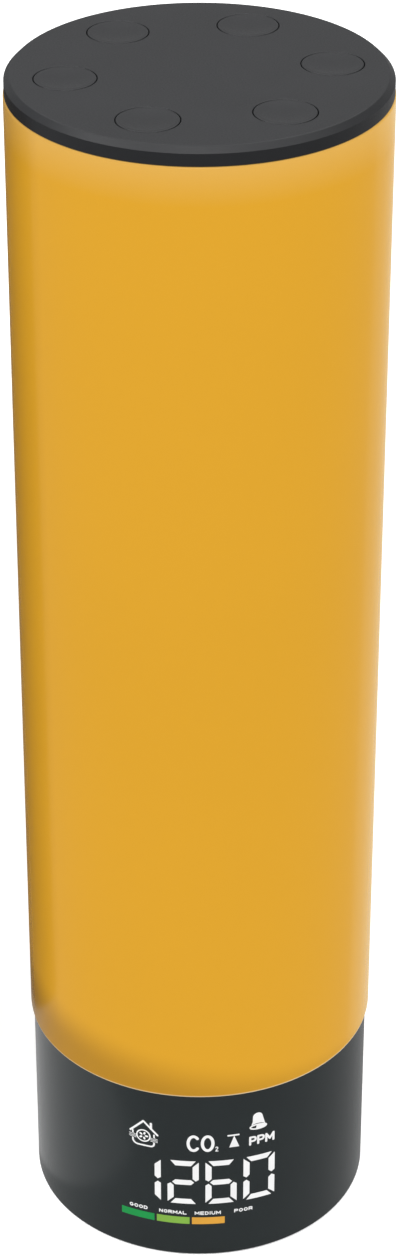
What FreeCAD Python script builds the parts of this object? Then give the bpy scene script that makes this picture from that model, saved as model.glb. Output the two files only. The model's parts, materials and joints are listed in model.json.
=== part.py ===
"""Carbon dioxide monitor lamp: a slim round tower with three visible stages.

A dark base holds the sensor, the main board and a display that shines through its tinted wall.
A milky light column stands on the base, lit from inside by four strips of LEDs on a square mast.
A dark lid closes the column and carries six round push buttons.

Millimetres, +Z up. The origin is on the table at the centre of the footprint, and the display
faces -Y. Each solid that comes apart on the bench is written to its own STEP file in parts/.
"""
import FreeCAD, Part
import math
import os

V = FreeCAD.Vector

# Driving dimensions of the whole tower.
HEIGHT = 280.0
COLUMN_RADIUS = 40.0
LID_RADIUS = 39.8
BASE_RADIUS = 39.3
BASE_TOP = 47.5
BASE_BOTTOM = 0.2
LID_BOTTOM = 276.0
FOOT_HEIGHT = 1.0
RUNNING_GAP = 0.05

# Light column.
COLUMN_WALL = 2.5
COLUMN_BORE = COLUMN_RADIUS - COLUMN_WALL
SEAL_SECTION = 1.3
SEAL_GROOVE = SEAL_SECTION + 0.3
UPPER_GROOVE_BOTTOM = 272.2
LOWER_GROOVE_BOTTOM = 49.4

# Base shell and the four pillars that both sets of base screws go into.
BASE_WALL = 2.2
BASE_BORE = BASE_RADIUS - BASE_WALL
BASE_CHAMFER = 0.25
PILLAR_CIRCLE = 32.9
PILLAR_RADIUS = 3.5
PILLAR_ANGLES = (45.0, 135.0, 225.0, 315.0)
BASE_PLATE_TOP = 3.4
DECK_BOTTOM = 44.7
DECK_RADIUS = 36.9
COLLAR_TOP = 52.7
FOOT_CIRCLE = 30.5
FOOT_RADIUS = 5.0
FOOT_RECESS = 1.2
SCREW_RECESS = 1.4
DECK_SCREW_RECESS = 1.4
LED_CABLE_Y = -22.0

# Screws: head radius, head height, shank radius.
LARGE_SCREW = (2.75, 1.3, 1.3)
SMALL_SCREW = (2.2, 1.4, 1.0)
TINY_SCREW = (1.4, 0.9, 0.75)
SHANK_GAP = 0.05
CLEARANCE_GAP = 0.35

# Lid and buttons.
LID_CHAMFER = 1.2
LID_EDGE_ROUND = 0.4
LID_PLATE = 2.4
LID_PLATE_BOTTOM = HEIGHT - LID_PLATE
SPIGOT_RADIUS = 37.1
SPIGOT_BORE = 35.4
SPIGOT_BOTTOM = 270.2
SEAL_BORE = SPIGOT_RADIUS - 0.9
BUTTON_COUNT = 6
BUTTON_CIRCLE = 27.4
BUTTON_FIRST_ANGLE = 8.3
BUTTON_RADIUS = 6.4
BUTTON_GAP = 0.15
BUTTON_TRAVEL = 0.6
COLLAR_BOTTOM = 276.4
CAP_FLANGE_BOTTOM = 275.3
DISH_DEPTH = 0.35
DISH_RADIUS = 5.6

# Button board, its connector and its switches.
BUTTON_BOARD_BOTTOM = 266.4
BUTTON_BOARD_TOP = 268.0
BUTTON_BOARD_BORE = 17.4
BUTTON_BOARD_RADIUS = 34.0
BOSS_CIRCLE = 21.2
BOSS_FIRST_ANGLE = BUTTON_FIRST_ANGLE + 30.0
BUTTON_CONNECTOR_ANGLE = 60.0
BUTTON_CONNECTOR_INNER = 19.0
BUTTON_CONNECTOR_BOTTOM = 262.4
SWITCH_SIDE = 6.2
SWITCH_HEIGHT = 3.5
SWITCH_FLOOR = 0.9
SWITCH_ROOF = 0.6
SWITCH_CAVITY_RADIUS = 2.4
DOME_RISE = 0.4
PLUNGER_TOP = 4.5

# Mast.
MAST_HALF = 10.0
MAST_BORE_HALF = 8.5
PLUG_HALF = 8.3
MAST_BOTTOM = 50.7
MAST_TOP = 258.0
MAST_FLANGE_RADIUS = 18.6
CABLE_BORE = 4.75
FOOT_SCREW_CIRCLE = 14.8
HOOK_CIRCLE = 14.2
HOOK_THICKNESS = 1.6
HOOK_ANGLES = (0.0, 120.0, 240.0)
LOWER_MAST_SCREW_Z = 56.0
UPPER_MAST_SCREW_Z = 253.0

# LED strips.
STRIP_HALF_WIDTH = 6.0
STRIP_THICKNESS = 1.2
STRIP_BOTTOM = 63.0
STRIP_TOP = 246.0
LED_SIDE = 5.0
LED_HEIGHT = 1.4
LED_PITCH = 15.0
LEDS_PER_STRIP = 12
FIRST_LED_Z = 72.0

# Main board in the base.
MAIN_BOARD_BOTTOM = 14.0
MAIN_BOARD_TOP = 15.6
MAIN_BOARD_RADIUS = 28.4
MAIN_POST_CIRCLE = 24.0
SOCKET_MOUTH_Y = 36.2
SOCKET_BACK_Y = 28.8
SOCKET_HALF_WIDTH = 4.47
SOCKET_HEIGHT = 3.26
SOCKET_WALL = 0.3
SOCKET_Z = MAIN_BOARD_TOP + SOCKET_HEIGHT / 2

# Cables inside the tower, and the plugs on the main board that they start from.
BUTTON_CABLE_DIAMETER = 2.4
LED_CABLE_DIAMETER = 1.8
BUTTON_PLUG = (9.0, -6.0)
LED_PLUG = (0.0, -17.0)
PLUG_TOP = MAIN_BOARD_TOP + 6.0

# Gas sensor, carried above the main board.
SENSOR_BOARD_BOTTOM = 18.4
SENSOR_BOARD_TOP = 19.4
SENSOR_CHAMBER_TOP = 27.4

# Display: a flat board whose light goes straight out to the curved wall, along -Y.
DISPLAY_BOARD_FRONT = -29.0
DISPLAY_BOARD_BACK = -27.4
DISPLAY_HALF_WIDTH = 20.0
DISPLAY_BOTTOM = 7.5
DISPLAY_TOP = 43.0
LIGHT_BOX_RADIUS = 36.85
FILM_THICKNESS = 0.2
DIGIT_COUNT = 4
DIGIT_LEFT = -16.3
DIGIT_BOTTOM = 15.6
DIGIT_WIDTH = 7.4
DIGIT_HEIGHT = 12.7
DIGIT_PITCH = 8.8
SEGMENT_WIDTH = 1.45
SEGMENT_GAP = 0.27
BAR_COUNT = 4
BAR_LEFT = -18.2
BAR_BOTTOM = 9.5
BAR_WIDTH = 7.65
BAR_HEIGHT = 2.0
BAR_PITCH = 8.2


def block(x0, x1, y0, y1, z0, z1):
    """A box between two corners."""
    return Part.makeBox(x1 - x0, y1 - y0, z1 - z0, V(x0, y0, z0))


def rounded_block(x0, x1, y0, y1, z0, z1, radius, along):
    """A box whose four edges along one axis are rounded; along is V(1,0,0), V(0,1,0) or V(0,0,1)."""
    solid = block(x0, x1, y0, y1, z0, z1)
    edges = [e for e in solid.Edges if abs(abs(e.tangentAt(e.FirstParameter).dot(along)) - 1) < 1e-6]
    return solid.makeFillet(radius, edges)


def disc(radius, z0, z1, x=0.0, y=0.0):
    """An upright cylinder."""
    return Part.makeCylinder(radius, z1 - z0, V(x, y, z0))


def ring(inner, outer, z0, z1, x=0.0, y=0.0):
    """An upright tube."""
    return disc(outer, z0, z1, x, y).cut(disc(inner, z0, z1, x, y))


def turned(profile):
    """A solid of revolution about Z from (radius, z) corners."""
    points = [V(r, 0, z) for r, z in profile]
    face = Part.Face(Part.makePolygon(points + points[:1]))
    return face.revolve(V(0, 0, 0), V(0, 0, 1), 360)


def circle_edges(shape, radius, z):
    """The round edges of that radius at that height."""
    return [
        e for e in shape.Edges
        if hasattr(e.Curve, "Radius")
        and abs(e.Curve.Radius - radius) < 1e-3
        and abs(e.Curve.Center.z - z) < 1e-3
    ]


def polar(radius, degrees):
    """x and y of a point on a circle about the tower's axis."""
    return radius * math.cos(math.radians(degrees)), radius * math.sin(math.radians(degrees))


def turn(shape, degrees):
    """A copy turned about the tower's axis."""
    copy = shape.copy()
    copy.rotate(V(0, 0, 0), V(0, 0, 1), degrees)
    return copy


def union(first, *others):
    """One solid from several that touch or overlap."""
    return first.fuse(list(others)).removeSplitter()


def screw(size, length, seat, direction):
    """A cross-head screw: its head bears on the point seat, and its shank points along direction."""
    head_radius, head_height, shank_radius = size
    head = Part.makeCylinder(head_radius, head_height)
    head = head.makeFillet(head_height * 0.45, circle_edges(head, head_radius, head_height))
    slot = head_radius * 0.62
    for along_x, along_y in ((slot, slot * 0.22), (slot * 0.22, slot)):
        head = head.cut(block(-along_x, along_x, -along_y, along_y, head_height * 0.4, head_height + 1))
    tip = shank_radius * 0.9
    shank = disc(shank_radius, tip - length, 0)
    point = Part.makeCone(shank_radius * 0.3, shank_radius, tip, V(0, 0, -length))
    solid = union(head, shank, point)
    turned_to = FreeCAD.Rotation(V(0, 0, -1), direction)
    solid.Placement = FreeCAD.Placement(V(*seat), turned_to)
    return solid


def cable(points, diameter):
    """A round cable: straight runs joined by tangent arcs as large as the shorter run beside each allows."""
    corners = [V(*p) for p in points]
    edges = []
    radii = []
    start = corners[0]
    for before, corner, after in zip(corners, corners[1:], corners[2:]):
        inward = (corner - before).normalize()
        outward = (after - corner).normalize()
        half_turn = inward.getAngle(outward) / 2
        tangent = 0.45 * min(before.distanceToPoint(corner), corner.distanceToPoint(after))
        radius = tangent / math.tan(half_turn)
        radii.append(round(radius, 1))
        arc_start = corner - inward * tangent
        arc_end = corner + outward * tangent
        towards_centre = (outward - inward).normalize()
        arc_middle = corner + towards_centre * (radius / math.cos(half_turn) - radius)
        edges.append(Part.LineSegment(start, arc_start).toShape())
        edges.append(Part.Arc(arc_start, arc_middle, arc_end).toShape())
        start = arc_end
    edges.append(Part.LineSegment(start, corners[-1]).toShape())
    path = Part.Wire(edges)
    print(f"cable: {path.Length:.1f} mm long, {diameter} mm thick, bends of radius {radii}")
    section = Part.Wire([Part.Circle(corners[0], corners[1] - corners[0], diameter / 2).toShape()])
    return path.makePipeShell([section], True, False)


def prism(outline, y0, y1):
    """A prism along Y from (x, z) corners."""
    points = [V(x, y0, z) for x, z in outline]
    return Part.Face(Part.makePolygon(points + points[:1])).extrude(V(0, y1 - y0, 0))


# ---------------------------------------------------------------- lid, buttons and their board

def top_cover():
    """Lid: chamfered plate, rim, spigot into the column, button wells, screw bosses, snap hooks."""
    plate = turned([
        (0, LID_PLATE_BOTTOM), (SPIGOT_BORE, LID_PLATE_BOTTOM), (SPIGOT_BORE, SPIGOT_BOTTOM),
        (SPIGOT_RADIUS - 0.5, SPIGOT_BOTTOM), (SPIGOT_RADIUS, SPIGOT_BOTTOM + 0.5),
        (SPIGOT_RADIUS, LID_BOTTOM), (LID_RADIUS - 0.2, LID_BOTTOM), (LID_RADIUS, LID_BOTTOM + 0.2),
        (LID_RADIUS, HEIGHT - LID_CHAMFER), (LID_RADIUS - LID_CHAMFER, HEIGHT), (0, HEIGHT),
    ])
    plate = plate.makeFillet(LID_EDGE_ROUND, circle_edges(plate, LID_RADIUS - LID_CHAMFER, HEIGHT))
    collars = [
        disc(BUTTON_RADIUS + 2.6, COLLAR_BOTTOM, LID_PLATE_BOTTOM, *polar(BUTTON_CIRCLE, a))
        for a in button_angles()
    ]
    hook = hook_at_zero()
    hooks = [turn(hook, a) for a in HOOK_ANGLES]
    bosses = [
        disc(3.25, BUTTON_BOARD_TOP, LID_PLATE_BOTTOM, *polar(BOSS_CIRCLE, a)) for a in boss_angles()
    ]
    lid = union(plate, *collars, *bosses, *hooks)
    for angle in button_angles():
        lid = lid.cut(disc(BUTTON_RADIUS + BUTTON_GAP, COLLAR_BOTTOM, HEIGHT, *polar(BUTTON_CIRCLE, angle)))
    pilot = SMALL_SCREW[2] + SHANK_GAP
    for angle in boss_angles():
        lid = lid.cut(disc(pilot, BUTTON_BOARD_TOP, BUTTON_BOARD_TOP + 8, *polar(BOSS_CIRCLE, angle)))
    groove_top = UPPER_GROOVE_BOTTOM + SEAL_GROOVE
    lid = lid.cut(ring(SEAL_BORE, SPIGOT_RADIUS, UPPER_GROOVE_BOTTOM, groove_top))
    return lid.makeFillet(0.22, circle_edges(lid, BUTTON_RADIUS + BUTTON_GAP, HEIGHT))


def hook_at_zero():
    """One snap hook of the lid, on the +X side: a leaf with a barb that catches under the mast cap."""
    back = HOOK_CIRCLE
    front = HOOK_CIRCLE + HOOK_THICKNESS
    barb_top = MAST_TOP - RUNNING_GAP
    outline = [
        (back, LID_PLATE_BOTTOM), (back, barb_top - 2.6), (front - 0.4, barb_top - 2.6),
        (front + 1.0, barb_top - 1.0), (front + 1.0, barb_top), (front, barb_top),
        (front, LID_PLATE_BOTTOM),
    ]
    return prism(outline, -2.5, 2.5)


def button_angles():
    return [BUTTON_FIRST_ANGLE + 360.0 / BUTTON_COUNT * k for k in range(BUTTON_COUNT)]


def boss_angles():
    return [BOSS_FIRST_ANGLE + 120.0 * k for k in range(3)]


def button_cap(angle):
    """Cap with a shallow dish on top, a flange that keeps it in the lid, and a stem on the switch."""
    flange_top = COLLAR_BOTTOM - RUNNING_GAP
    stem_bottom = BUTTON_BOARD_TOP + PLUNGER_TOP
    body = disc(BUTTON_RADIUS, flange_top, HEIGHT)
    body = body.makeFillet(0.22, circle_edges(body, BUTTON_RADIUS, HEIGHT))
    flange = disc(BUTTON_RADIUS + 1.1, CAP_FLANGE_BOTTOM, flange_top)
    hollow = ring(2.0, 5.0, CAP_FLANGE_BOTTOM, HEIGHT - 1.6)
    stem = disc(2.0, stem_bottom, CAP_FLANGE_BOTTOM)
    dish_sphere = (DISH_RADIUS ** 2 + DISH_DEPTH ** 2) / (2 * DISH_DEPTH)
    dish = Part.makeSphere(dish_sphere, V(0, 0, HEIGHT - DISH_DEPTH + dish_sphere))
    cap = union(body, flange).cut(hollow).cut(dish)
    cap = union(cap, stem)
    x, y = polar(BUTTON_CIRCLE, angle)
    cap.translate(V(x, y, 0))
    return cap


def tact_switch(angle):
    """Square switch body, hollow inside so that its plunger can travel."""
    half = SWITCH_SIDE / 2
    bottom = BUTTON_BOARD_TOP
    top = bottom + SWITCH_HEIGHT
    body = rounded_block(-half, half, -half, half, bottom, top, 0.5, V(0, 0, 1))
    body = body.cut(disc(SWITCH_CAVITY_RADIUS, bottom + SWITCH_FLOOR, top - SWITCH_ROOF))
    body = body.cut(disc(1.8, top - SWITCH_ROOF, top))
    legs = [
        block(x, x + 1.2, y - 0.35, y + 0.35, bottom, bottom + 0.25)
        for x in (half, -half - 1.2) for y in (-2.2, 2.2)
    ]
    body = union(body, *legs)
    body.rotate(V(0, 0, 0), V(0, 0, 1), angle)
    body.translate(V(*polar(BUTTON_CIRCLE, angle), 0))
    return body


def switch_plunger(angle):
    """The switch's moving pin: a flange kept inside the switch, and a stem under the cap."""
    x, y = polar(BUTTON_CIRCLE, angle)
    top = BUTTON_BOARD_TOP + SWITCH_HEIGHT
    flange_top = top - SWITCH_ROOF - RUNNING_GAP
    cavity = SWITCH_HEIGHT - SWITCH_FLOOR - SWITCH_ROOF
    flange_height = cavity - DOME_RISE - BUTTON_TRAVEL - 2 * RUNNING_GAP
    flange = disc(2.2, flange_top - flange_height, flange_top, x, y)
    stem = disc(1.7, flange_top, BUTTON_BOARD_TOP + PLUNGER_TOP, x, y)
    return union(flange, stem)


def switch_dome(angle):
    """Snap dome on the floor of a switch, in the flat shape that it has when the button is down."""
    radius, sheet = SWITCH_CAVITY_RADIUS - 0.1, 0.12
    sphere = (radius ** 2 + DOME_RISE ** 2) / (2 * DOME_RISE)
    floor = BUTTON_BOARD_TOP + SWITCH_FLOOR
    x, y = polar(BUTTON_CIRCLE, angle)
    centre = V(x, y, floor + DOME_RISE - sphere)
    shell = Part.makeSphere(sphere, centre).cut(Part.makeSphere(sphere - sheet, centre))
    return shell.common(disc(radius, floor, floor + DOME_RISE, x, y))


def button_board():
    """Ring-shaped board under the lid."""
    board = ring(BUTTON_BOARD_BORE, BUTTON_BOARD_RADIUS, BUTTON_BOARD_BOTTOM, BUTTON_BOARD_TOP)
    for angle in boss_angles():
        x, y = polar(BOSS_CIRCLE, angle)
        board = board.cut(disc(SMALL_SCREW[2] + CLEARANCE_GAP, BUTTON_BOARD_BOTTOM, BUTTON_BOARD_TOP, x, y))
    return board


def button_board_connector():
    """Side-entry plug and header under the button board; the cable meets its inner face."""
    body = block(BUTTON_CONNECTOR_INNER, 25.0, -5.0, 5.0, BUTTON_CONNECTOR_BOTTOM, BUTTON_BOARD_BOTTOM)
    return turn(body, BUTTON_CONNECTOR_ANGLE)


def button_board_screws():
    return [
        screw(SMALL_SCREW, 8.0, (*polar(BOSS_CIRCLE, a), BUTTON_BOARD_BOTTOM), V(0, 0, 1))
        for a in boss_angles()
    ]


def seal(groove_bottom):
    """Soft ring from the floor of its groove out to the column's bore."""
    bottom = groove_bottom + (SEAL_GROOVE - SEAL_SECTION) / 2
    return ring(SEAL_BORE, COLUMN_BORE, bottom, bottom + SEAL_SECTION)


# ---------------------------------------------------------------- light column and mast

def diffuser_tube():
    """Milky tube with softened end edges."""
    tube = ring(COLUMN_BORE, COLUMN_RADIUS, BASE_TOP, LID_BOTTOM)
    tube = tube.makeFillet(0.5, circle_edges(tube, COLUMN_RADIUS, BASE_TOP))
    return tube.makeFillet(0.5, circle_edges(tube, COLUMN_RADIUS, LID_BOTTOM))


def square_tube(outer_half, bore_half, z0, z1):
    outer = rounded_block(-outer_half, outer_half, -outer_half, outer_half, z0, z1, 2.0, V(0, 0, 1))
    return outer.cut(block(-bore_half, bore_half, -bore_half, bore_half, z0, z1))


def cross_hole(radius, z, direction):
    """A hole right through the mast at height z."""
    return Part.makeCylinder(radius, 60, V(0, 0, z) - direction * 30, direction)


def mast_tube():
    tube = square_tube(MAST_HALF, MAST_BORE_HALF, MAST_BOTTOM, MAST_TOP)
    hole = LARGE_SCREW[2] + CLEARANCE_GAP
    tube = tube.cut(cross_hole(hole, LOWER_MAST_SCREW_Z, V(0, 1, 0)))
    return tube.cut(cross_hole(hole, UPPER_MAST_SCREW_Z, V(1, 0, 0)))


def mast_foot():
    """Flange on the deck with a square plug inside the mast and a bore for the cables."""
    foot = union(
        disc(MAST_FLANGE_RADIUS, BASE_TOP, MAST_BOTTOM),
        block(-PLUG_HALF, PLUG_HALF, -PLUG_HALF, PLUG_HALF, MAST_BOTTOM, MAST_BOTTOM + 10),
    ).cut(disc(CABLE_BORE, BASE_TOP, MAST_BOTTOM + 10))
    for k in range(4):
        x, y = polar(FOOT_SCREW_CIRCLE, 90.0 * k)
        foot = foot.cut(disc(LARGE_SCREW[2] + CLEARANCE_GAP, BASE_TOP, MAST_BOTTOM, x, y))
    return foot.cut(cross_hole(LARGE_SCREW[2] + SHANK_GAP, LOWER_MAST_SCREW_Z, V(0, 1, 0)))


def mast_cap():
    """Disc on the mast with a square plug, a cable bore and three slots for the lid's hooks."""
    cap = union(
        disc(MAST_FLANGE_RADIUS, MAST_TOP, MAST_TOP + 3),
        block(-PLUG_HALF, PLUG_HALF, -PLUG_HALF, PLUG_HALF, MAST_TOP - 10, MAST_TOP),
    ).cut(disc(CABLE_BORE, MAST_TOP - 10, MAST_TOP + 3))
    slot = block(HOOK_CIRCLE - 0.3, HOOK_CIRCLE + HOOK_THICKNESS + 0.3, -2.8, 2.8, MAST_TOP, MAST_TOP + 3)
    for angle in HOOK_ANGLES:
        cap = cap.cut(turn(slot, angle))
    return cap.cut(cross_hole(LARGE_SCREW[2] + SHANK_GAP, UPPER_MAST_SCREW_Z, V(1, 0, 0)))


def mast_screws():
    """Two screws through each end of the mast into the foot and the cap."""
    screws = []
    for sign in (1, -1):
        screws.append(screw(LARGE_SCREW, 4.5, (0, sign * MAST_HALF, LOWER_MAST_SCREW_Z), V(0, -sign, 0)))
        screws.append(screw(LARGE_SCREW, 4.5, (sign * MAST_HALF, 0, UPPER_MAST_SCREW_Z), V(-sign, 0, 0)))
    return screws


def mast_foot_screws():
    return [
        screw(LARGE_SCREW, 9.0, (*polar(FOOT_SCREW_CIRCLE, 90.0 * k), MAST_BOTTOM), V(0, 0, -1))
        for k in range(4)
    ]


def led_strip():
    """The strip on the +X face of the mast; the others are turned copies."""
    return block(MAST_HALF, MAST_HALF + STRIP_THICKNESS, -STRIP_HALF_WIDTH, STRIP_HALF_WIDTH,
                 STRIP_BOTTOM, STRIP_TOP)


def led_chips():
    """White packages with a shallow round window, in a row on the +X strip."""
    half = LED_SIDE / 2
    face = MAST_HALF + STRIP_THICKNESS
    chips = []
    for k in range(LEDS_PER_STRIP):
        z = FIRST_LED_Z + LED_PITCH * k
        chip = block(face, face + LED_HEIGHT, -half, half, z - half, z + half)
        window = Part.makeCylinder(2.0, 0.3, V(face + LED_HEIGHT - 0.3, 0, z), V(1, 0, 0))
        chips.append(chip.cut(window))
    return chips


def strip_jumpers():
    """Pairs of short wires round three corners of the mast, soldered flat on the strips they join."""
    radius = 0.5
    edge = STRIP_HALF_WIDTH
    reach = MAST_HALF + STRIP_THICKNESS + radius
    wires = []
    for corner in (0.0, 90.0, 180.0):
        for z in (STRIP_BOTTOM + 1.6, STRIP_BOTTOM + 3.6):
            bend = Part.makeTorus(reach - edge, radius, V(edge, edge, z), V(0, 0, 1), -180, 180, 90)
            first = Part.makeCylinder(radius, 1.5, V(reach, edge, z), V(0, -1, 0))
            last = Part.makeCylinder(radius, 1.5, V(edge, reach, z), V(-1, 0, 0))
            wires.append(turn(union(bend, first, last), corner))
    return wires


# ---------------------------------------------------------------- base

def base_shell():
    """Tinted sleeve with four screw pillars, a window for the power socket and rear vents."""
    wall = turned([
        (BASE_BORE, BASE_BOTTOM), (BASE_RADIUS - BASE_CHAMFER, BASE_BOTTOM),
        (BASE_RADIUS, BASE_BOTTOM + BASE_CHAMFER), (BASE_RADIUS, BASE_TOP - BASE_CHAMFER),
        (BASE_RADIUS - BASE_CHAMFER, BASE_TOP), (BASE_BORE, BASE_TOP),
    ])
    pillars = []
    for angle in PILLAR_ANGLES:
        pillars.append(disc(PILLAR_RADIUS, BASE_PLATE_TOP, DECK_BOTTOM, *polar(PILLAR_CIRCLE, angle)))
        web = block(PILLAR_CIRCLE, BASE_RADIUS - 1, -1.6, 1.6, BASE_PLATE_TOP, DECK_BOTTOM)
        pillars.append(turn(web, angle))
    shell = union(wall, *pillars)
    pilot = LARGE_SCREW[2] + SHANK_GAP
    for angle in PILLAR_ANGLES:
        x, y = polar(PILLAR_CIRCLE, angle)
        shell = shell.cut(disc(pilot, BASE_PLATE_TOP, BASE_PLATE_TOP + 9, x, y))
        shell = shell.cut(disc(pilot, DECK_BOTTOM - 9, DECK_BOTTOM, x, y))
    window = rounded_block(-6.3, 6.3, 30, 45, SOCKET_Z - 3.5, SOCKET_Z + 3.5, 2.2, V(0, 1, 0))
    shell = shell.cut(window)
    vent = rounded_block(35, 41, -0.8, 0.8, 27, 39, 0.79, V(1, 0, 0))
    for k in range(-4, 5):
        shell = shell.cut(turn(vent, 90 + 6.5 * k))
    return shell


def deck_plate():
    """Top of the base: closes it, centres the light column and carries the mast."""
    deck = turned([
        (CABLE_BORE, DECK_BOTTOM), (DECK_RADIUS, DECK_BOTTOM), (DECK_RADIUS, COLLAR_TOP - 0.5),
        (DECK_RADIUS - 0.5, COLLAR_TOP), (DECK_RADIUS - 1.6, COLLAR_TOP), (DECK_RADIUS - 1.6, BASE_TOP),
        (CABLE_BORE, BASE_TOP),
    ])
    bosses = [
        disc(3.4, DECK_BOTTOM - 5, DECK_BOTTOM, *polar(FOOT_SCREW_CIRCLE, 90.0 * k)) for k in range(4)
    ]
    deck = union(deck, *bosses)
    for k in range(4):
        x, y = polar(FOOT_SCREW_CIRCLE, 90.0 * k)
        deck = deck.cut(disc(LARGE_SCREW[2] + SHANK_GAP, DECK_BOTTOM - 4, BASE_TOP, x, y))
    for angle in PILLAR_ANGLES:
        x, y = polar(PILLAR_CIRCLE, angle)
        deck = deck.cut(disc(LARGE_SCREW[2] + CLEARANCE_GAP, DECK_BOTTOM, BASE_TOP, x, y))
        deck = deck.cut(disc(LARGE_SCREW[0] + CLEARANCE_GAP, BASE_TOP - DECK_SCREW_RECESS, COLLAR_TOP, x, y))
    deck = deck.cut(disc(LED_CABLE_DIAMETER / 2 + 1.1, DECK_BOTTOM, BASE_TOP, 0, LED_CABLE_Y))
    groove_top = LOWER_GROOVE_BOTTOM + SEAL_GROOVE
    return deck.cut(ring(SEAL_BORE, DECK_RADIUS, LOWER_GROOVE_BOTTOM, groove_top))


def deck_screws():
    return [
        screw(LARGE_SCREW, 9.5, (*polar(PILLAR_CIRCLE, a), BASE_TOP - DECK_SCREW_RECESS), V(0, 0, -1))
        for a in PILLAR_ANGLES
    ]


def base_plate():
    """Bottom cover with air slots, recesses for feet and screws, and posts for the main board."""
    plate = disc(DECK_RADIUS, FOOT_HEIGHT, BASE_PLATE_TOP)
    posts = [
        disc(3.0, BASE_PLATE_TOP, MAIN_BOARD_BOTTOM, *polar(MAIN_POST_CIRCLE, a)) for a in PILLAR_ANGLES
    ]
    plate = union(plate, *posts)
    for angle in PILLAR_ANGLES:
        x, y = polar(MAIN_POST_CIRCLE, angle)
        plate = plate.cut(disc(SMALL_SCREW[2] + SHANK_GAP, 6.0, MAIN_BOARD_BOTTOM, x, y))
        x, y = polar(PILLAR_CIRCLE, angle)
        plate = plate.cut(disc(LARGE_SCREW[2] + CLEARANCE_GAP, FOOT_HEIGHT, BASE_PLATE_TOP, x, y))
        recess_top = FOOT_HEIGHT + SCREW_RECESS
        plate = plate.cut(disc(LARGE_SCREW[0] + CLEARANCE_GAP, FOOT_HEIGHT, recess_top, x, y))
    for k in range(4):
        x, y = polar(FOOT_CIRCLE, 90.0 * k)
        plate = plate.cut(disc(FOOT_RADIUS + 0.2, FOOT_HEIGHT, FOOT_HEIGHT + FOOT_RECESS, x, y))
    for k in range(-3, 4):
        y = 4.4 * k
        reach = math.sqrt(16.0 ** 2 - y ** 2)
        slot = rounded_block(-reach, reach, y - 0.9, y + 0.9, FOOT_HEIGHT, BASE_PLATE_TOP, 0.89, V(0, 0, 1))
        plate = plate.cut(slot)
    return plate


def base_plate_screws():
    return [
        screw(LARGE_SCREW, 9.0, (*polar(PILLAR_CIRCLE, a), FOOT_HEIGHT + SCREW_RECESS), V(0, 0, 1))
        for a in PILLAR_ANGLES
    ]


def rubber_feet():
    """Four round pads in the bottom cover's recesses."""
    feet = []
    for k in range(4):
        foot = disc(FOOT_RADIUS, 0, FOOT_HEIGHT + FOOT_RECESS)
        foot = foot.makeFillet(0.4, circle_edges(foot, FOOT_RADIUS, 0))
        foot.translate(V(*polar(FOOT_CIRCLE, 90.0 * k), 0))
        feet.append(foot)
    return feet


def main_board():
    """Round board on the bottom cover's posts, cut flat behind the display, with a tab for the socket."""
    board = disc(MAIN_BOARD_RADIUS, MAIN_BOARD_BOTTOM, MAIN_BOARD_TOP)
    board = board.cut(block(-40, 40, -40, -24.5, MAIN_BOARD_BOTTOM, MAIN_BOARD_TOP))
    board = union(board, block(-7, 7, 20, 35.6, MAIN_BOARD_BOTTOM, MAIN_BOARD_TOP))
    for angle in PILLAR_ANGLES:
        x, y = polar(MAIN_POST_CIRCLE, angle)
        board = board.cut(disc(SMALL_SCREW[2] + CLEARANCE_GAP, MAIN_BOARD_BOTTOM, MAIN_BOARD_TOP, x, y))
    return board


def main_board_screws():
    return [
        screw(SMALL_SCREW, 8.0, (*polar(MAIN_POST_CIRCLE, a), MAIN_BOARD_TOP), V(0, 0, -1))
        for a in PILLAR_ANGLES
    ]


def controller_chip():
    return block(-8, -1, -13, -6, MAIN_BOARD_TOP, MAIN_BOARD_TOP + 1.4)


def power_capacitors():
    """Three upright electrolytic capacitors with a rolled groove near the foot."""
    cans = []
    for x, y in ((17.0, -5.0), (23.6, -7.0), (23.2, 0.0)):
        foot = MAIN_BOARD_TOP
        profile = [
            (0, foot), (3.1, foot), (3.1, foot + 1.0), (2.8, foot + 1.3), (3.1, foot + 1.6),
            (3.1, foot + 7.6), (2.8, foot + 8.0), (0, foot + 8.0),
        ]
        can = turned(profile)
        can.translate(V(x, y, 0))
        cans.append(can)
    return cans


def power_inductor():
    return rounded_block(19, 25, 5, 11, MAIN_BOARD_TOP, MAIN_BOARD_TOP + 3, 1.2, V(0, 0, 1))


def board_connectors():
    """Upright plugs for the button cable and the LED cable, and the flat socket for the ribbon."""
    plugs = [
        block(x - half, x + half, y - 2.5, y + 2.5, MAIN_BOARD_TOP, PLUG_TOP)
        for (x, y), half in ((BUTTON_PLUG, 3.7), (LED_PLUG, 2.6))
    ]
    ribbon_socket = block(-7.5, 7.5, -24.3, -20.6, MAIN_BOARD_TOP, MAIN_BOARD_TOP + 2.4)
    display_socket = block(-7.5, 7.5, DISPLAY_BOARD_BACK, DISPLAY_BOARD_BACK + 2.4, 23.0, 27.0)
    return plugs + [ribbon_socket, display_socket]


def display_ribbon():
    """Flat cable from the main board's socket, up behind the display board, to its socket."""
    thickness = 0.3
    low = MAIN_BOARD_TOP + 1.2
    middle = DISPLAY_BOARD_BACK + 1.2
    bend = 1.0
    flat = block(-6, 6, middle + bend, -24.3, low - thickness / 2, low + thickness / 2)
    upright = block(-6, 6, middle - thickness / 2, middle + thickness / 2, low + bend, 23.0)
    inner = Part.makeCylinder(bend - thickness / 2, 12, V(-6, middle + bend, low + bend), V(1, 0, 0))
    outer = Part.makeCylinder(bend + thickness / 2, 12, V(-6, middle + bend, low + bend), V(1, 0, 0))
    corner = block(-6, 6, middle - 1, middle + bend, low - 1, low + bend)
    return union(flat, upright, outer.cut(inner).common(corner))


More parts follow.
